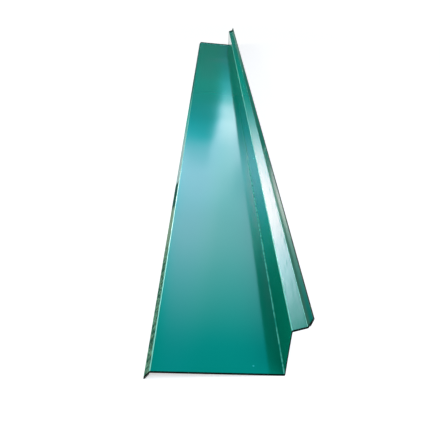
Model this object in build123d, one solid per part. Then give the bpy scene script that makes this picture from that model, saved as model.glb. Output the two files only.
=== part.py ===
from build123d import *
import math
import os

# Roof flashing: one strip of prepainted steel, folded along its length on a press brake.
# Seen from its near end (-Y), left to right: a hemmed drip lip that points down, the flat pan, the
# riser, a step outwards and a hemmed end lip. Millimetres, +Z up. The strip lies as it rests on a
# level floor, on its drip lip and on the fold between pan and riser, with the origin in the middle
# of its base.

# Driving dimensions. A width runs along the middle of the sheet, from fold to fold or to the outside
# of a hem.
length = 2000.0
sheet_thickness = 0.5
pan_width = 134.9
riser_width = 60.6
step_width = 15.3
end_lip_width = 11.7
drip_lip_width = 11.0
hem_return_width = 9.0  # the sheet's free edge, turned back behind each lip
corner_snip = 2.4  # cut off the end lip's corners, so that they catch nobody

# Directions in degrees, counted from the pan
drip_lip_fall = 56.5
riser_rise = 92.0
step_rise = 21.9
end_lip_rise = 72.9

# Radii at the inside of the folds
pan_fold_radius = 1.0
step_fold_radius = 0.8
drip_fold_radius = 1.5
hem_radius = 0.2

HALF_TURN = 180.0

# Each strip of the sheet between two folds, from the drip lip's free edge to the end lip's
strip_widths = [
    hem_return_width,
    drip_lip_width,
    pan_width,
    riser_width,
    step_width,
    end_lip_width,
    hem_return_width,
]

# Each fold between two strips: how far the sheet turns, positive upwards, and the inside radius
hem = (-HALF_TURN, hem_radius)
drip_fold = (-drip_lip_fall, drip_fold_radius)
riser_fold = (riser_rise, pan_fold_radius)
step_fold = (step_rise - riser_rise, step_fold_radius)
end_lip_fold = (end_lip_rise - step_rise, step_fold_radius)
folds = [hem, drip_fold, riser_fold, step_fold, end_lip_fold, hem]


def setback(fold):
    """Width that a fold takes from the flat beside it."""
    turn, inside_radius = fold
    if abs(turn) == HALF_TURN:
        return inside_radius + sheet_thickness
    return (inside_radius + sheet_thickness / 2) * math.tan(math.radians(abs(turn) / 2))


def flat_widths():
    """What is left flat of each strip, between the folds on its two sides."""
    before = [0.0] + [setback(fold) for fold in folds]
    after = [setback(fold) for fold in folds] + [0.0]
    return [width - a - b for width, a, b in zip(strip_widths, before, after)]


def face_line(start, side):
    """One face of the sheet in section: its flats and arcs. side is 1 left of the sheet's middle, else -1."""
    heading = drip_lip_fall + HALF_TURN
    away = side * sheet_thickness / 2
    normal = Vector(-math.sin(math.radians(heading)), math.cos(math.radians(heading)))
    flats = flat_widths()
    lines = [PolarLine(start + normal * away, flats[0], heading)]
    arcs = []
    for (turn, inside_radius), flat in zip(folds, flats[1:]):
        radius = inside_radius + sheet_thickness / 2 - math.copysign(away, turn * side)
        arc = JernArc(lines[-1] @ 1, lines[-1] % 1, radius, turn)
        heading += turn
        arcs.append(arc)
        lines += [arc, PolarLine(arc @ 1, flat, heading)]
    return lines, arcs


def rest_tilt(hem_arc, riser_arc):
    """Angle of the line that touches the drip lip's hem and the riser fold from below."""
    between = riser_arc.center_point - hem_arc.center_point
    radius_difference = pan_fold_radius - hem_radius
    slope = math.atan2(between.Y, between.X) - math.asin(radius_difference / between.length)
    return math.degrees(slope)


def snip_tool(tip, heading):
    """Wedge that cuts the near corner off a lip, whose outer edge is at tip and points along heading."""
    hem_thickness = 2 * (sheet_thickness + hem_radius)
    inward = Vector(-math.cos(math.radians(heading)), 0, -math.sin(math.radians(heading)))
    corner = Plane(origin=(tip.X, -length / 2, tip.Y), x_dir=inward, z_dir=inward.cross(Vector(0, 1, 0)))
    reach = 2 * corner_snip
    with BuildSketch(corner) as wedge:
        with BuildLine():
            Polyline((reach, corner_snip - reach), (corner_snip - reach, reach), (-reach, -reach), close=True)
        make_face()
    return extrude(wedge.sketch, amount=2 * hem_thickness, both=True)


def flashing():
    """The folded strip, straight and free of twist, resting on a level floor."""
    start = Vector(0, 0)
    front, arcs = face_line(start, 1)
    back, _ = face_line(start, -1)
    free_edges = [Line(front[0] @ 0, back[0] @ 0), Line(front[-1] @ 1, back[-1] @ 1)]
    section = make_face(Wire(front + back + free_edges))
    strip = extrude(Plane.XZ * section, amount=length / 2, both=True)

    lip_middle = (front[-3] @ 1 + back[-3] @ 1) / 2
    lip_heading = Vector(math.cos(math.radians(end_lip_rise)), math.sin(math.radians(end_lip_rise)))
    snip = snip_tool(lip_middle + lip_heading * setback(hem), end_lip_rise)
    strip = strip - snip - snip.mirror(Plane.XZ)

    drip_hem_arc, _, riser_arc, *_ = arcs
    strip = Rot(0, rest_tilt(drip_hem_arc, riser_arc), 0) * strip
    box = strip.bounding_box()
    return Pos(-box.center().X, 0, -box.min.Z) * strip


os.makedirs("parts", exist_ok=True)
export_step(flashing(), "parts/flashing.step")
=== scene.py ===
import math

import bpy
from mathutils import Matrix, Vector

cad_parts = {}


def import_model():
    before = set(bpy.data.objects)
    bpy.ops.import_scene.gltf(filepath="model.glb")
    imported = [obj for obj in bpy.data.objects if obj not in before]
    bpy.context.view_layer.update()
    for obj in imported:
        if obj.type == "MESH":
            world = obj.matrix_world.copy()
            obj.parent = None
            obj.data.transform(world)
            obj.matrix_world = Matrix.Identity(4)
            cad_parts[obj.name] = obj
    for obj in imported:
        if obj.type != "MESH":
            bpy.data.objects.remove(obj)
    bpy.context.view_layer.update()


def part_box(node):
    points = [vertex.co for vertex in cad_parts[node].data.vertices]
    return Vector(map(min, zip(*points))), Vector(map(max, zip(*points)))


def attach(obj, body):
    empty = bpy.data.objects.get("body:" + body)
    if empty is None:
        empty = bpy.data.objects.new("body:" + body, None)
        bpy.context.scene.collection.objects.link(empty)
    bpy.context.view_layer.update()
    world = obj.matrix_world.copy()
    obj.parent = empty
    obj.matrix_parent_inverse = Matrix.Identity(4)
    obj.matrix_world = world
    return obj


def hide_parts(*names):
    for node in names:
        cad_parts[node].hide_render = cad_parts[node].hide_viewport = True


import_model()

# A metal flashing: one strip of prepainted steel, folded along its length. It lies along Y on a level
# floor, with the end that the camera is nearest to at -Y. Metres, as the frame is. In section, from
# left to right: a hemmed drip lip, the pan, the riser, a step outwards and a hemmed end lip.

MM = 0.001
HALF_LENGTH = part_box("flashing")[1].y
SHEET = 0.5 * MM
CORNER_SNIP = 2.4 * MM  # cut off the end lip's corners

# Each strip of the sheet between two folds: its name, its width, and how many faces it gets across
STRIPS = (
    ("drip_return", 9.0 * MM, 3),
    ("drip_lip", 11.0 * MM, 6),
    ("pan", 134.9 * MM, 30),
    ("riser", 60.6 * MM, 16),
    ("step", 15.3 * MM, 6),
    ("end_lip", 11.7 * MM, 5),
    ("end_return", 9.0 * MM, 3),
)
# Degrees from the pan
DRIP_ANGLE = 56.5
RISER_ANGLE = 92.0
STEP_ANGLE = 21.9
LIP_ANGLE = 72.9
# Heading of the first strip, then each fold: its turn in degrees, positive upwards, and inside radius
FIRST_HEADING = 180 + DRIP_ANGLE
FOLDS = (
    (-180.0, 0.2 * MM),
    (-DRIP_ANGLE, 1.5 * MM),
    (RISER_ANGLE, 1.0 * MM),
    (STEP_ANGLE - RISER_ANGLE, 0.8 * MM),
    (LIP_ANGLE - STEP_ANGLE, 0.8 * MM),
    (-180.0, 0.2 * MM),
)
FOLD_FACES = 8
# Where the paint differs, by strip. The folds are numbered as above.
MASKS = {
    "drip": ("drip_return", "fold_0", "drip_lip"),
    "wear_and_highlight": ("fold_1",),
    "crease": ("fold_2",),
    "ridge": ("fold_3",),
    "nook": ("fold_4",),
    "riser": ("riser",),
    "step": ("step",),
    "lip": ("end_lip",),
    "rim": ("fold_5", "end_return"),
}
FOLD_MARGIN = 0.4 * MM  # the first face beside a fold is this narrow, so that its shading stays flat
REST_TILT = math.radians(3.8242)  # the drip lip lifts the pan's left side by this much
ROW_SPACING = 9.0 * MM
END_ROW = 1.5 * MM  # depth of the row of faces at each end
SHARP_ANGLE = math.radians(35)

# Slight waves of the thin sheet between its folds: height, wave length along Y, and phase
WAVES = {
    "pan": ((0.16 * MM, 0.61, 0.4), (0.09 * MM, 0.29, 2.1), (0.05 * MM, 0.147, 4.0)),
    "riser": ((0.10 * MM, 0.47, 1.3), (0.06 * MM, 0.19, 3.2)),
}
# The sheet's three finishes, in the order of its materials
PAINTED, PRIMED, CUT = 0, 1, 2


def direction(angle):
    return Vector((math.cos(angle), math.sin(angle)))


def left_of(ahead):
    return Vector((-ahead.y, ahead.x))


def setback(turn, radius):
    """Width that a fold takes from the flat beside it."""
    if abs(turn) == 180:
        return radius + SHEET
    return (radius + SHEET / 2) * math.tan(math.radians(abs(turn) / 2))


def across(flat, faces):
    """Places across a flat where its faces meet, with a narrow face beside each fold."""
    inner = flat - 2 * FOLD_MARGIN
    return [0.0] + [FOLD_MARGIN + inner * i / (faces - 2) for i in range(faces - 1)] + [flat]


def flat_stops(place, heading, name, flat, faces):
    """The stops of the section across one flat."""
    ahead = direction(heading)
    return [(place + ahead * step, left_of(ahead), name, step / flat, 1.0) for step in across(flat, faces)]


def fold_stops(centre, heading, turn, radius, name):
    """The stops of the section round one fold, without its two sides, which belong to the flats."""
    stops = []
    for step in range(1, FOLD_FACES):
        normal = left_of(direction(heading + turn * step / FOLD_FACES))
        middle = 1 - abs(2 * step / FOLD_FACES - 1)
        stops.append((centre - normal * radius, normal, name, 0.0, middle))
    return stops


def section():
    """Walks the middle of the sheet. Each stop is (point, left normal, strip, share across, weight).

    The weight is 1 on a flat, and on a fold it goes from 0 at its sides to 1 in its middle.
    """
    stops = []
    place, heading = Vector((0.0, 0.0)), math.radians(FIRST_HEADING)
    takes = [0.0] + [setback(*fold) for fold in FOLDS] + [0.0]
    for index, (name, width, faces) in enumerate(STRIPS):
        flat = width - takes[index] - takes[index + 1]
        stops += flat_stops(place, heading, name, flat, faces)
        place = place + direction(heading) * flat
        if index == len(FOLDS):
            break
        turn, inside = math.radians(FOLDS[index][0]), FOLDS[index][1]
        radius = math.copysign(inside + SHEET / 2, turn)
        centre = place + left_of(direction(heading)) * radius
        stops += fold_stops(centre, heading, turn, radius, "fold_%d" % index)
        heading += turn
        place = centre - left_of(direction(heading)) * radius
    return stops


def wave(name, share, y):
    """How far the sheet stands off its flat, on its painted side. Nothing at the folds."""
    hump = math.sin(math.pi * share)
    waves = WAVES.get(name, ())
    return hump * sum(h * math.sin(2 * math.pi * y / length + phase) for h, length, phase in waves)


def tilted(point):
    """A point of the section, turned as the strip rests on the floor."""
    c, s = math.cos(REST_TILT), math.sin(REST_TILT)
    return Vector((point.x * c + point.y * s, point.y * c - point.x * s))


def rows():
    """Places along the length where the faces meet, closer together at the two ends."""
    count = round(2 * HALF_LENGTH / ROW_SPACING)
    inner = [-HALF_LENGTH + 2 * HALF_LENGTH * i / count for i in range(1, count)]
    return [-HALF_LENGTH, -HALF_LENGTH + END_ROW] + inner + [HALF_LENGTH - END_ROW, HALF_LENGTH]


def outline():
    """The section's two faces at rest in the frame: a list of (stop, painted point, back point)."""
    made = []
    for stop in section():
        half = stop[1] * SHEET / 2
        made.append((stop, tilted(stop[0] + half), tilted(stop[0] - half)))
    low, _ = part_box("flashing")
    points = [p for _, front, back in made for p in (front, back)]
    shift = Vector((low.x - min(p.x for p in points), low.z - min(p.y for p in points)))
    return [(stop, front + shift, back + shift) for stop, front, back in made]


def sheet_points(stations, places):
    """The vertices, painted side first, and the strength of each mask at each of them."""
    lip_heading = direction(math.radians(LIP_ANGLE) - REST_TILT)
    edge = max(p.dot(lip_heading) for _, front, back in stations for p in (front, back))
    vertices = []
    masks = {name: [] for name in MASKS}
    for side in (PAINTED, PRIMED):
        for stop, *points in stations:
            (_, normal, name, share, weight), point = stop, points[side]
            # A corner is snipped off where the point is near the end lip's outer edge
            snip = max(0.0, CORNER_SNIP - (edge - point.dot(lip_heading)))
            scale = 1 - snip / HALF_LENGTH
            normal = tilted(normal)
            for y in places:
                off = wave(name, share, y)
                vertices.append((point.x + normal.x * off, y * scale, point.y + normal.y * off))
            for mask, strips in MASKS.items():
                masks[mask] += [weight if name in strips else 0.0] * len(places)
    return vertices, masks


def sheet_faces(station_count, row_count):
    """The faces between the stations across and the rows along, and the finish of each face."""
    def at(side, station, row):
        return (side * station_count + station) * row_count + row

    faces, finish = [], []
    last = row_count - 1
    for i in range(station_count - 1):
        for j in range(last):
            faces.append((at(0, i, j), at(0, i + 1, j), at(0, i + 1, j + 1), at(0, i, j + 1)))
            faces.append((at(1, i, j), at(1, i, j + 1), at(1, i + 1, j + 1), at(1, i + 1, j)))
            finish += [PAINTED, PRIMED]
        faces.append((at(0, i, 0), at(1, i, 0), at(1, i + 1, 0), at(0, i + 1, 0)))
        faces.append((at(0, i, last), at(0, i + 1, last), at(1, i + 1, last), at(1, i, last)))
        finish += [CUT, CUT]
    end = station_count - 1
    for j in range(last):
        faces.append((at(0, 0, j), at(0, 0, j + 1), at(1, 0, j + 1), at(1, 0, j)))
        faces.append((at(0, end, j), at(1, end, j), at(1, end, j + 1), at(0, end, j + 1)))
        finish += [CUT, CUT]
    return faces, finish


def build_sheet(materials):
    """The strip as one closed mesh, with its waves, snipped corners and three finishes."""
    stations, places = outline(), rows()
    vertices, masks = sheet_points(stations, places)
    faces, finish = sheet_faces(len(stations), len(places))
    mesh = bpy.data.meshes.new("folded_sheet")
    mesh.from_pydata(vertices, [], faces)
    for material in materials:
        mesh.materials.append(material)
    mesh.polygons.foreach_set("material_index", finish)
    mesh.polygons.foreach_set("use_smooth", [True] * len(faces))
    for name, values in masks.items():
        mesh.attributes.new(name, "FLOAT", "POINT").data.foreach_set("value", values)
    mesh.update()
    mesh.set_sharp_from_angle(angle=SHARP_ANGLE)
    made = bpy.data.objects.new("folded_sheet", mesh)
    bpy.context.collection.objects.link(made)
    return made


class Nodes:
    """A short way to add nodes to a new material or world, and to link them.

    A value is a number, a colour, or the output of a node.
    """

    def __init__(self, owner):
        owner.use_nodes = True
        self.owner = owner
        self.tree = owner.node_tree
        self.shader = self.tree.nodes.get("Principled BSDF")

    def add(self, kind, **settings):
        node = self.tree.nodes.new("ShaderNode" + kind)
        for key, value in settings.items():
            setattr(node, key, value)
        return node

    def put(self, socket, value):
        if isinstance(value, bpy.types.NodeSocket):
            self.tree.links.new(value, socket)
        else:
            socket.default_value = value

    def math(self, operation, first, *others):
        """The operation on the first two values, then on its result and the third, and so on."""
        result = first
        for value in others:
            node = self.add("Math", operation=operation)
            self.put(node.inputs[0], result)
            self.put(node.inputs[1], value)
            result = node.outputs[0]
        return result

    def sum(self, *values):
        return self.math("ADD", *values)

    def less(self, value, taken):
        return self.math("SUBTRACT", value, taken)

    def times(self, *values):
        return self.math("MULTIPLY", *values)

    def most(self, *values):
        return self.math("MAXIMUM", *values)

    def mix(self, share, a, b):
        """Colour a where share is 0, b where it is 1."""
        node = self.add("Mix", data_type="RGBA")
        self.put(node.inputs[0], share)
        self.put(node.inputs[6], a)
        self.put(node.inputs[7], b)
        return node.outputs[2]

    def ease(self, value, low, high, to_low=0.0, to_high=1.0):
        """Goes smoothly from to_low to to_high as value goes from low to high."""
        node = self.add("MapRange", interpolation_type="SMOOTHSTEP")
        for socket, number in zip(node.inputs, (value, low, high, to_low, to_high)):
            self.put(socket, number)
        return node.outputs[0]

    def band(self, value, low, full, still_full, high):
        """0 below low, 1 from full to still_full, and 0 again above high."""
        return self.times(self.ease(value, low, full), self.ease(value, high, still_full))

    def place(self):
        """The object's own coordinates in metres."""
        return self.add("TexCoord").outputs["Object"]

    def axes(self):
        """The object's own x, y and z."""
        node = self.add("SeparateXYZ")
        self.put(node.inputs[0], self.place())
        return list(node.outputs)

    def noise(self, cells, detail=2.0, roughness=0.5):
        """Soft noise from 0 to 1, with so many cells a metre along x, y and z."""
        mapping = self.add("Mapping")
        self.put(mapping.inputs["Vector"], self.place())
        self.put(mapping.inputs["Scale"], cells)
        node = self.add("TexNoise")
        self.put(node.inputs["Vector"], mapping.outputs[0])
        self.put(node.inputs["Scale"], 1.0)
        self.put(node.inputs["Detail"], detail)
        self.put(node.inputs["Roughness"], roughness)
        return node.outputs[0]

    def distance(self, point):
        """How far a place on the object is from a point."""
        node = self.add("VectorMath", operation="DISTANCE")
        self.put(node.inputs[0], self.place())
        self.put(node.inputs[1], point)
        return node.outputs["Value"]

    def mask(self, name):
        return self.add("Attribute", attribute_name=name).outputs["Fac"]

    def bump(self, height):
        """height is in metres."""
        node = self.add("Bump")
        self.put(node.inputs["Strength"], 1.0)
        self.put(node.inputs["Distance"], 1.0)
        self.put(node.inputs["Height"], height)
        self.put(self.shader.inputs["Normal"], node.outputs[0])


# Painted reflections on the drip lip, partly dirt: mottled near the camera, and then what takes over along
# Y:
# its colour, from where, by where, and how fully
SAGE = (0.17, 0.40, 0.28, 1)
GRIME_AND_REFLECTION_DARK = (0.015, 0.10, 0.070, 1)
OLIVE = (0.20, 0.24, 0.14, 1)
DRIP_REFLECTION_STRETCHES = (
    ((0.32, 0.48, 0.36, 1), -0.83, -0.72, 0.7),  # a pale stretch, dust and painted reflection
    ((0.015, 0.10, 0.08, 1), -0.668, -0.652, 1.0),  # a dark stretch, painted dark reflection
    ((0.46, 0.65, 0.66, 1), -0.574, -0.560, 1.0),  # a pale line, painted reflection
    ((0.08, 0.50, 0.45, 1), -0.42, -0.20, 1.0),  # plain green, painted reflection
    ((0.03, 0.165, 0.145, 1), -0.22, 0.15, 1.0),  # darker green to the far end, where the painted reflection fades
)


def drip_lip_reflection_colour(n, y):
    """Mottled green near the camera, and five other stretches beyond that: painted reflections of the ground
    beside the lip, partly dirt.
    """
    # The mottle and the stretches are painted reflection, partly dirt
    patches = n.noise((330, 180, 330), 3.0, 0.6)
    colour = n.mix(n.ease(patches, 0.38, 0.60), SAGE, GRIME_AND_REFLECTION_DARK)
    spots = n.noise((420, 150, 420))
    colour = n.mix(n.ease(spots, 0.60, 0.70), colour, OLIVE)
    for stretch, start, full, share in DRIP_REFLECTION_STRETCHES:
        colour = n.mix(n.ease(y, start, full, 0.0, share), colour, stretch)
    return colour


# Painted highlights along the folds, partly paint worn pale by the bending
FOLD_WEAR_AND_HIGHLIGHT = (0.30, 0.78, 0.66, 1)
RIDGE_WEAR_AND_HIGHLIGHT = (0.34, 0.95, 0.86, 1)
CREASE_HIGHLIGHT_BRIGHT = (0.24, 1.0, 0.95, 1)
CREASE_HIGHLIGHT_DIM = (0.02, 0.42, 0.38, 1)
# From where to where along Y the painted fold highlights and the wear fade
DRIP_FOLD_FADE = (-0.25, 0.25)
RIDGE_FADE = (0.2, 0.8)
NOOK_FADE = (-0.65, -0.85)
CREASE_FADE = (-0.38, -0.50)
DOTS_FADE = (-0.72, -0.90)


def fold_wear_and_highlights(n, y, colour):
    """Painted highlights along the folds, partly a coat thinned pale where the sheet is bent. The pan's
    inner corner has a fine dotted line of painted highlight.
    """
    wear_and_highlight = n.ease(n.noise((60, 25, 60), 3.0, 0.6), 0.25, 0.6, 0.55, 0.95)
    drip_fold = n.times(n.ease(n.mask("wear_and_highlight"), 0.1, 0.6), n.ease(y, *DRIP_FOLD_FADE, 1.0, 0.0))
    colour = n.mix(n.times(drip_fold, wear_and_highlight), colour, FOLD_WEAR_AND_HIGHLIGHT)
    nook = n.times(n.ease(n.mask("nook"), 0.1, 0.5), n.ease(y, *NOOK_FADE))
    ridge = n.times(n.ease(n.mask("ridge"), 0.0, 0.25), n.ease(y, *RIDGE_FADE, 1.0, 0.45))
    colour = n.mix(n.times(n.most(ridge, nook), wear_and_highlight), colour, RIDGE_WEAR_AND_HIGHLIGHT)
    dots = n.ease(n.noise((200, 140, 200)), 0.35, 0.54)
    dots = n.times(dots, n.ease(y, *DOTS_FADE, 1.0, 0.5))
    crease = n.times(n.ease(n.mask("crease"), 0.05, 0.35), n.ease(y, *CREASE_FADE))
    return n.mix(crease, colour, n.mix(dots, CREASE_HIGHLIGHT_DIM, CREASE_HIGHLIGHT_BRIGHT))


# Two faint darker marks on the pan, each as a band along X, a band along Y and its strength
DARK_PAN_MARK_BANDS = (
    ((-0.050, -0.035, 0.045, 0.055), (0.535, 0.565, 0.60, 0.64), 0.65),  # a line across it
    ((-0.068, -0.055, -0.03, 0.01), (0.12, 0.35, 0.50, 0.58), 0.35),  # a dull patch
)


def dark_pan_marks(n, x, y):
    marks = [n.times(n.band(x, *wide), n.band(y, *long), level) for wide, long, level in DARK_PAN_MARK_BANDS]
    return n.sum(*marks)


RISER_END_RAGGED = 0.08  # metres along Y that the border of the riser's pale far end wanders by
RISER_END_BAND = (0.965, 0.990)  # the riser is pale mauve and matt from here on
FAR_BAND = (0.950, 0.982)  # the far end is a little darker from here on
FAR_LEAD = 0.035  # and this much sooner on the step and the end lip
FAR_LIP_BAND = (-0.60, -0.53)  # the end lip is matt from here on, with painted reflection in its colour
END_SHADOW_BAND = (2.2 * MM, 1.6 * MM)  # the painted shadow along each cut end fades out between these distances from it


def paint_zones(n):
    """How strongly each part of the coat has its own finish, from 0 to 1, by name."""
    x, y, _ = n.axes()
    riser, lip = n.mask("riser"), n.mask("lip")
    ragged = n.times(n.less(n.noise((160, 60, 160), 3.0, 0.6), 0.5), RISER_END_RAGGED)
    lead = n.times(n.sum(lip, n.mask("step")), FAR_LEAD)
    from_end = [HALF_LENGTH - distance for distance in END_SHADOW_BAND]
    return {
        "dark_pan_marks": dark_pan_marks(n, x, y),
        "drip": n.ease(n.mask("drip"), 0.0, 0.4),
        "rim": n.ease(n.mask("rim"), 0.0, 0.3),
        "far_lip": n.times(lip, n.ease(y, *FAR_LIP_BAND)),
        "pale_riser_end": n.times(riser, n.ease(n.sum(y, ragged), *RISER_END_BAND)),
        "far": n.ease(n.sum(y, lead), *FAR_BAND),
        "end": n.most(n.ease(y, *from_end), n.ease(y, *[-place for place in from_end])),
    }


TEAL = (0.0, 0.203, 0.143, 1)
TEAL_DEEP = (0.0, 0.188, 0.131, 1)
DARK_PAN_MARK = (0.02, 0.13, 0.10, 1)
# The riser's greener copy of the teal is painted light, for the greener light that falls on it
RISER_LIT_TEAL = (0.0, 0.245, 0.142, 1)
RISER_LIT_SPECK = (0.0, 0.160, 0.092, 1)
LIP_SHADE = (0.0, 0.105, 0.068, 1)
# The end lip's far part: painted light and painted reflection in place of its gloss
LIP_FAR_PAINTED_LIGHT = (0.03, 0.24, 0.20, 1)
LIP_PAINTED_REFLECTION = (0.19, 0.42, 0.37, 1)
LIP_REFLECTION_RISE = (-0.1, 0.6)  # the painted reflection on the far part of the end lip grows paler between these places along Y


def coat_colour(n, zones, y):
    """Teal with a faint drift, a speckled riser, and an end lip that grows paler along its length. The
    riser's greener copy is painted light, the end lip's darker copy painted shade, and its paler far part
    painted reflection.
    """
    drift = n.ease(n.noise((3, 3, 3), 3.0), 0.35, 0.65)
    colour = n.mix(drift, TEAL, TEAL_DEEP)
    colour = n.mix(zones["dark_pan_marks"], colour, DARK_PAN_MARK)
    specks = n.ease(n.noise((420, 170, 420), 2.0, 0.6), 0.38, 0.62)
    colour = n.mix(n.times(n.mask("riser"), 0.8), colour, n.mix(specks, RISER_LIT_TEAL, RISER_LIT_SPECK))
    colour = n.mix(n.times(n.mask("lip"), 0.8), colour, LIP_SHADE)
    return n.mix(zones["far_lip"], colour, n.mix(n.ease(y, *LIP_REFLECTION_RISE), LIP_FAR_PAINTED_LIGHT, LIP_PAINTED_REFLECTION))


RIM_BROWN = (0.045, 0.040, 0.035, 1)
RIM_OLIVE = (0.09, 0.11, 0.05, 1)
RISER_END_MAUVE = (0.25, 0.22, 0.22, 1)
CHIP_PALE = (0.03, 0.40, 0.38, 1)
CHIP_PLACE = (28.7 * MM, -988.6 * MM, 2.5 * MM)
CHIP_REACH = (1.3 * MM, 0.7 * MM)
# Near black: sheared steel with painted shade on it, on the cut faces and in a band along each cut end
STEEL_AND_SHADOW_DARK = (0.003, 0.005, 0.004, 1)
FAR_EDGE_DARK = (0.004, 0.07, 0.055, 1)


def wear_and_painted_light_colour(n, zones, y, colour):
    """Adds the wear and the painted light: folds with painted highlights, the drip lip's painted
    reflections, the end lip's hem, a pale mauve far end on the riser, a chip, a darker far end and painted
    shadow along the cut ends.
    """
    colour = fold_wear_and_highlights(n, y, colour)
    colour = n.mix(zones["drip"], colour, drip_lip_reflection_colour(n, y))
    # The end lip's hem is painted dark brown and olive in patches
    hem_patches = n.ease(n.noise((300, 90, 300)), 0.50, 0.62)
    colour = n.mix(zones["rim"], colour, n.mix(hem_patches, RIM_BROWN, RIM_OLIVE))
    colour = n.mix(zones["pale_riser_end"], colour, RISER_END_MAUVE)
    colour = n.mix(n.ease(n.distance(CHIP_PLACE), *CHIP_REACH), colour, CHIP_PALE)
    colour = n.mix(n.times(zones["far"], 0.9), colour, FAR_EDGE_DARK)
    # A band of painted shadow along each cut end
    return n.mix(zones["end"], colour, STEEL_AND_SHADOW_DARK)


def dullness(n, zones, y):
    """1 where the coat is matt, for grime, wear, bare steel, the painted shadow at the ends and the painted
    reflection on the end lip, and 0 where it is whole.
    """
    drip = n.times(zones["drip"], n.ease(y, -0.2, 0.2, 0.9, 1.0))
    folds = n.times(n.most(n.mask("ridge"), n.mask("nook")), 0.7)
    crease = n.times(n.ease(n.mask("crease"), 0.0, 0.25), n.ease(y, *CREASE_FADE))
    matt_places = n.most(zones["rim"], zones["end"], zones["pale_riser_end"], zones["far"], zones["far_lip"])
    return n.most(drip, folds, crease, matt_places)


GLOSS_TEAL = (0.0, 1.0, 1.0, 1)  # tints the reflections seen from above
GLOSS_PALE = (0.35, 1.0, 1.0, 1)  # and those in the step
WHOLE_COAT = (0.100, 0.118)  # roughness
DULL_COAT = 0.75
PEEL_HEIGHT = 0.0035 * MM
RIPPLE_HEIGHT = 0.11 * MM


def paint_material():
    """Glossy teal coil coating with its wear, painted highlights, reflections and shade, a fine orange peel,
    and faint ripples in the step.
    """
    n = Nodes(bpy.data.materials.new("teal_coat"))
    s = n.shader
    zones = paint_zones(n)
    _, y, _ = n.axes()
    n.put(s.inputs["Base Color"], wear_and_painted_light_colour(n, zones, y, coat_colour(n, zones, y)))

    dull = dullness(n, zones, y)
    rough = n.ease(n.noise((6, 6, 6), 4.0), 0.3, 0.7, *WHOLE_COAT)
    rough = n.sum(rough, n.times(zones["dark_pan_marks"], 0.06))
    n.put(s.inputs["Roughness"], n.ease(dull, 0.0, 1.0, rough, DULL_COAT))
    n.put(s.inputs["Specular IOR Level"], n.ease(dull, 0.0, 1.0, 0.5, 0.0))
    n.put(s.inputs["Specular Tint"], n.mix(n.mask("step"), GLOSS_TEAL, GLOSS_PALE))

    ripples = n.times(n.noise((300, 60, 300)), n.mask("step"), RIPPLE_HEIGHT)
    n.bump(n.sum(n.times(n.noise((900, 900, 900)), PEEL_HEIGHT), ripples))
    return n.owner


PRIMER_GREY = (0.42, 0.43, 0.42, 1)
PRIMER_PALE = (0.50, 0.51, 0.50, 1)


def primer_material():
    """Light grey back coat, thin and slightly uneven."""
    n = Nodes(bpy.data.materials.new("grey_back_coat"))
    s = n.shader
    drift = n.noise((14, 3.5, 14), 4.0)
    n.put(s.inputs["Base Color"], n.mix(n.ease(drift, 0.3, 0.7), PRIMER_GREY, PRIMER_PALE))
    n.put(s.inputs["Roughness"], n.ease(drift, 0.3, 0.7, 0.36, 0.5))
    n.bump(n.times(n.noise((700, 700, 700)), 0.004 * MM))
    return n.owner


BURR_GREY = (0.06, 0.065, 0.065, 1)


def cut_edge_material():
    """The sheared edge: dark steel, near black with painted shade, and a few brighter burrs."""
    n = Nodes(bpy.data.materials.new("cut_edge"))
    s = n.shader
    n.put(s.inputs["Metallic"], 0.6)
    burrs = n.noise((800, 800, 800), 3.0)
    n.put(s.inputs["Base Color"], n.mix(n.ease(burrs, 0.5, 0.75), STEEL_AND_SHADOW_DARK, BURR_GREY))
    n.put(s.inputs["Roughness"], n.ease(burrs, 0.3, 0.7, 0.45, 0.7))
    n.bump(n.times(burrs, 0.015 * MM))
    return n.owner


def seen_directly(n):
    """1 for a ray that shows the background: from the camera, a reflection or through glass. Else 0."""
    path = n.add("LightPath")
    kinds = [path.outputs[kind] for kind in ("Is Camera Ray", "Is Glossy Ray", "Is Transmission Ray")]
    return n.math("MINIMUM", n.sum(*kinds), 1.0)


def plane(name, corners, material):
    """A flat stage piece, which isn't part of the object."""
    mesh = bpy.data.meshes.new(name)
    mesh.from_pydata(corners, [], [(0, 1, 2, 3)])
    mesh.materials.append(material)
    made = bpy.data.objects.new(name, mesh)
    bpy.context.collection.objects.link(made)
    return made


FLOOR_REACH = 60.0
FLOOR_WHITE = (0.72, 0.72, 0.72, 1)
FLOOR_GLOW = (0.54, 0.82)  # of white, where the floor is seen directly, near the object and far off
FLOOR_NEAR_FAR = (0.8, 4.3)  # metres from the object's middle


def floor():
    """A pale floor that keeps the object's shadow and is white where it is seen directly."""
    n = Nodes(bpy.data.materials.new("pale_floor"))
    s = n.shader
    n.put(s.inputs["Base Color"], FLOOR_WHITE)
    n.put(s.inputs["Roughness"], 0.9)
    n.put(s.inputs["Specular IOR Level"], 0.0)
    n.put(s.inputs["Emission Color"], (1, 1, 1, 1))
    level = n.ease(n.distance((0, 0, 0)), *FLOOR_NEAR_FAR, *FLOOR_GLOW)
    n.put(s.inputs["Emission Strength"], n.times(seen_directly(n), level))
    n.owner.cycles.emission_sampling = "NONE"
    r = FLOOR_REACH
    plane("pale_floor", [(-r, -r, 0), (r, -r, 0), (r, r, 0), (-r, r, 0)], n.owner)


WORLD_FILL = 0.36  # light on the object from all round; seen directly, the world is white


def world():
    n = Nodes(bpy.data.worlds.new("plain_studio"))
    background = n.tree.nodes["Background"]
    n.put(background.inputs["Color"], (1, 1, 1, 1))
    n.put(background.inputs["Strength"], n.ease(seen_directly(n), 0.0, 1.0, WORLD_FILL, 1.0))
    bpy.context.scene.world = n.owner


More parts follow.
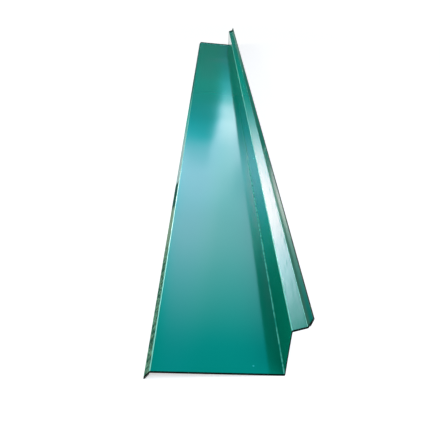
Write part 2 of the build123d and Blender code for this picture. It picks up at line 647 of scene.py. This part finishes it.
# Three cards stand or lie beyond the far end and on the left. Only reflections show them: they are what
# the glossy paint mirrors. The tall card faces the camera, and places on it are metres across (x) and
# up (z).
CARD_Y = 6.0
CARD_HALF_WIDTH = 12.0
CARD_TOP = 13.0
CARD_RIGHT = (0.10, 0.42)  # from the card's middle to its right part

# Brightness of the card's plain part
DIM_FLOOR = 0.25
DIM_LEFT = 0.50
DIM_RIGHT = (0.85, 0.55)  # near the floor, and further up
DIM_FAR_LEFT = 0.4  # added there


def dim_brightness(n, x, z):
    """The card's plain part: least bright near the floor, and brighter on the right and far on the left."""
    right = n.ease(z, 1.45, 1.75, *DIM_RIGHT)
    above = n.ease(n.ease(x, *CARD_RIGHT), 0.0, 1.0, DIM_LEFT, right)
    return n.sum(n.ease(z, 0.97, 1.37, DIM_FLOOR, above), n.ease(x, -1.4, -1.8, 0.0, DIM_FAR_LEFT))


SKY_LEFT = (2.6, 3.3)  # brightness at the sky's lower edge and above it
SKY_RIGHT = 2.9
SKY_HEIGHT = (2.40, 1.70)  # of the lower edge's middle, on the left and on the right
SKY_SOFTNESS = (0.70, 0.38)  # half the edge's height, on the left and on the right


def sky_brightness(n, x, z):
    """Bright above a soft edge that stands higher on the left, and dimmer again far up."""
    right, left = n.ease(x, 0.16, 0.42), n.ease(x, -0.25, -0.60)
    middle = n.less(n.ease(right, 0.0, 1.0, *SKY_HEIGHT), n.times(left, 0.12))
    half = n.ease(right, 0.0, 1.0, *SKY_SOFTNESS)
    rise = n.ease(z, n.less(middle, half), n.sum(middle, half))
    level = n.ease(x, 0.45, 0.65, n.ease(z, 2.3, 3.3, *SKY_LEFT), SKY_RIGHT)
    dip = n.times(n.ease(x, 0.70, 0.85), n.band(z, 2.5, 2.8, 3.1, 3.6))
    level = n.less(level, n.times(dip, 0.6))
    fading = n.ease(z, 4.3, 8.0, 1.0, 0.36)
    gap = n.times(n.ease(x, -0.40, -0.80), n.ease(z, 3.7, 5.8, 0.0, 0.95))
    return n.times(rise, level, fading, n.less(1.0, gap))


# Brightness of three places on the card
STEP_SPOT = 6.9
SHOULDER = 1.3
LIP_SPOT = 11.0


def slanted(n, x, z):
    """x, made larger as z rises, so that a band of it leans to the left."""
    return n.sum(x, n.times(n.less(z, 3.5), 0.3))


def step_spot(n, x, z):
    """Where the step mirrors the card."""
    wide = n.band(slanted(n, x, z), -2.9, -2.2, -1.18, -0.92)
    return n.times(wide, n.band(z, 1.8, 4.1, 4.9, 7.9), STEP_SPOT)


def shoulder(n, x, z):
    """A dimmer place to the right of the step's spot."""
    left = n.ease(slanted(n, x, z), -0.30, -0.70)
    return n.times(n.ease(x, -1.0, -0.7, 0.0, SHOULDER), left, n.band(z, 2.3, 2.9, 4.0, 5.0))


def lip_spot(n, x, z):
    """Where the end lip mirrors the card by way of the pan."""
    return n.times(n.band(x, -5.6, -2.8, -2.5, -1.95), n.band(z, 1.65, 2.35, 4.5, 6.0), LIP_SPOT)


def window(n, x, z):
    """A small place at the sky's lower edge, where the pan's reflection is brightest."""
    return n.times(n.band(x, 0.28, 0.43, 0.56, 0.74), n.band(z, 1.47, 1.80, 1.95, 2.5))


# How much of its brightness each spot has in red, green and blue. The lip's has a pair for its right and
# its left side, and the step's a pair for low down and further up.
WINDOW_SHARES = (1.3, 0.80, 0.65)
LIP_RED = (1.65, 0.75)
LIP_GREEN = (0.95, 0.42)
LIP_BLUE = (0.95, 0.25)
STEP_RED = (2.45, 1.5)
STEP_GREEN = 0.97
STEP_BLUE = (1.0, 1.18)
RED_TAKEN = (1.55, 1.72)  # what the plain part and the sky lack in red, on the left and on the right
RED_LEAST = 0.035


def card_red(n, x, z, light):
    """Only the bright parts have red, and the left has little of it outside its spots."""
    plain = n.sum(light["sky"], light["dim"], light["shoulder"])
    plain = n.most(n.less(plain, n.ease(x, 0.15, 0.45, *RED_TAKEN)), RED_LEAST)
    high = n.times(n.ease(x, 1.3, 0.1, 0.0, 0.25), n.band(z, 3.2, 4.4, 6.2, 7.2))
    left = n.ease(z, 3.2, 3.9, n.ease(z, 2.2, 2.7, 0.1, 0.30), 0.04)
    plain = n.times(n.sum(plain, high), n.ease(x, -0.23, -0.32, 1.0, left))
    plain = n.times(plain, n.ease(z, 3.6, 4.4, 1.5, 1.7), n.ease(z, 3.6, 5.0, 1.0, 1.08))
    in_step = n.times(light["step_spot"], n.ease(z, 3.9, 5.4, *STEP_RED))
    in_lip = n.times(light["lip_spot"], n.ease(x, -3.0, -3.8, *LIP_RED))
    return n.sum(plain, in_step, in_lip, n.times(light["window"], WINDOW_SHARES[0]))


def card_green(n, x, light):
    """The card's own brightness, and somewhat less than that in its spots."""
    in_step = n.times(light["step_spot"], STEP_GREEN)
    in_lip = n.times(light["lip_spot"], n.ease(x, -3.0, -3.8, *LIP_GREEN))
    in_window = n.times(light["window"], WINDOW_SHARES[1])
    return n.sum(light["sky"], light["dim"], light["shoulder"], in_step, in_lip, in_window)


def card_blue(n, x, z, light):
    """The sky is bluest in its middle, and the plain part on the left has less blue than green."""
    cool = n.sum(n.ease(x, 0.6, 0.1, 1.18, 1.37), n.ease(z, 6.0, 8.0, 0.0, 0.15))
    green_place = n.times(n.band(x, -1.25, -1.0, -0.55, -0.35), n.ease(z, 3.8, 4.3, 0.0, 0.35))
    cool = n.less(n.less(cool, n.ease(x, -0.15, -0.90, 0.0, 0.20)), green_place)
    sky = n.times(n.sum(light["sky"], light["shoulder"]), cool)
    low = n.ease(n.ease(x, *CARD_RIGHT), 0.0, 1.0, 0.8, 1.1)
    dim = n.times(light["dim"], n.ease(z, 1.4, 1.9, low, n.ease(x, -0.5, -0.2, 0.85, 1.15)))
    in_step = n.times(light["step_spot"], n.ease(z, 3.8, 4.8, *STEP_BLUE))
    in_lip = n.times(light["lip_spot"], n.ease(x, -2.8, -4.0, *LIP_BLUE))
    return n.sum(sky, dim, in_step, in_lip, n.times(light["window"], WINDOW_SHARES[2]))


def tall_card_pattern(n):
    """Dim parts are cool, and bright parts nearly white."""
    x, _, z = n.axes()
    light = {
        "dim": dim_brightness(n, x, z),
        "sky": sky_brightness(n, x, z),
        "shoulder": shoulder(n, x, z),
        "step_spot": step_spot(n, x, z),
        "lip_spot": lip_spot(n, x, z),
        "window": window(n, x, z),
    }
    return card_red(n, x, z, light), card_green(n, x, light), card_blue(n, x, z, light)


SIDE_CARD_X = -2.0
SIDE_CARD_NEAR = 1.0
SIDE_CARD_HEIGHT = 0.6
SIDE_CARD_BRIGHT = (4.7, 5.3, 4.3)
SIDE_CARD_DIM = (0.02, 0.6, 0.48)


def side_card_pattern(n):
    """The end lip mirrors this low card on the left: dim green from near its start, and a bright stretch."""
    _, y, _ = n.axes()
    bright = n.band(y, 2.0, 2.6, 3.3, 3.9)
    dim = n.ease(y, 1.0, 2.4)
    return [n.sum(n.times(bright, a), n.times(dim, b)) for a, b in zip(SIDE_CARD_BRIGHT, SIDE_CARD_DIM)]


FLOOR_CARD_COLOUR = (0.15, 0.95, 0.72, 1)  # the end lip mirrors green from the floor on the left
FLOOR_CARD_NEAR = 0.6
FLOOR_CARD_RIGHT = -0.5


def glow(name, colour):
    """A material that only shines. Its colour is plain, or a function that makes red, green and blue."""
    n = Nodes(bpy.data.materials.new(name))
    n.tree.nodes.remove(n.shader)
    if callable(colour):
        joined = n.add("CombineColor")
        for socket, level in zip(joined.inputs, colour(n)):
            n.put(socket, level)
        colour = joined.outputs[0]
    emission = n.add("Emission")
    n.put(emission.inputs["Color"], colour)
    n.put(n.tree.nodes["Material Output"].inputs["Surface"], emission.outputs[0])
    n.owner.cycles.emission_sampling = "NONE"
    return n.owner


def cards():
    w, y, top = CARD_HALF_WIDTH, CARD_Y, CARD_TOP
    tall = [(-w, y, 0), (w, y, 0), (w, y, top), (-w, y, top)]
    x, near, h = SIDE_CARD_X, SIDE_CARD_NEAR, SIDE_CARD_HEIGHT
    side = [(x, near, 0), (x, y, 0), (x, y, h), (x, near, h)]
    right, start = FLOOR_CARD_RIGHT, FLOOR_CARD_NEAR
    low = [(x, start, MM), (right, start, MM), (right, y, MM), (x, y, MM)]
    made = [
        plane("tall_card", tall, glow("tall_card", tall_card_pattern)),
        plane("side_card", side, glow("side_card", side_card_pattern)),
        plane("floor_card", low, glow("floor_card", FLOOR_CARD_COLOUR)),
    ]
    for card in made:
        card.visible_camera = False
        card.visible_diffuse = False
        card.visible_shadow = False


def softbox(name, place, aim, size, level, colour):
    """A square lamp at place, facing aim, whose face has the given brightness, where 1 is white."""
    lamp = bpy.data.lights.new(name, "AREA")
    lamp.shape = "SQUARE"
    lamp.size = size
    lamp.color = colour
    lamp.energy = level * math.pi * size * size
    made = bpy.data.objects.new(name, lamp)
    bpy.context.collection.objects.link(made)
    made.location = place
    made.rotation_euler = (Vector(aim) - Vector(place)).to_track_quat("-Z", "Y").to_euler()
    made.visible_camera = False


def lights():
    softbox("overhead", (1.2, -1.9, 3.2), (0, -0.3, 0), size=2.6, level=3.3, colour=(0.90, 1.0, 1.15))
    softbox("left_fill", (-3.6, -0.6, 1.8), (0, 0, 0), size=1.8, level=3.8, colour=(1.0, 1.0, 0.75))


# The camera stands before the near end and looks down along the strip
CAMERA_PLACE = (-10.77 * MM, -1291.75 * MM, 355.43 * MM)
CAMERA_TURN = (58.360, -1.649, -2.938)  # degrees
CAMERA_LENS = 35.578
CAMERA_SENSOR = 36
CAMERA_SHIFT = (-0.0455, 0.0182)
CAMERA_REACH = (0.05, 200)


def camera():
    data = bpy.data.cameras.new("camera")
    data.sensor_width = CAMERA_SENSOR
    data.lens = CAMERA_LENS
    data.shift_x, data.shift_y = CAMERA_SHIFT
    data.clip_start, data.clip_end = CAMERA_REACH
    made = bpy.data.objects.new("camera", data)
    bpy.context.collection.objects.link(made)
    made.location = CAMERA_PLACE
    made.rotation_euler = [math.radians(angle) for angle in CAMERA_TURN]
    bpy.context.scene.camera = made


camera()
floor()
world()
cards()
lights()
sheet = build_sheet((paint_material(), primer_material(), cut_edge_material()))
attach(sheet, "root")
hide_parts("flashing")
bpy.context.scene.view_settings.view_transform = "Standard"
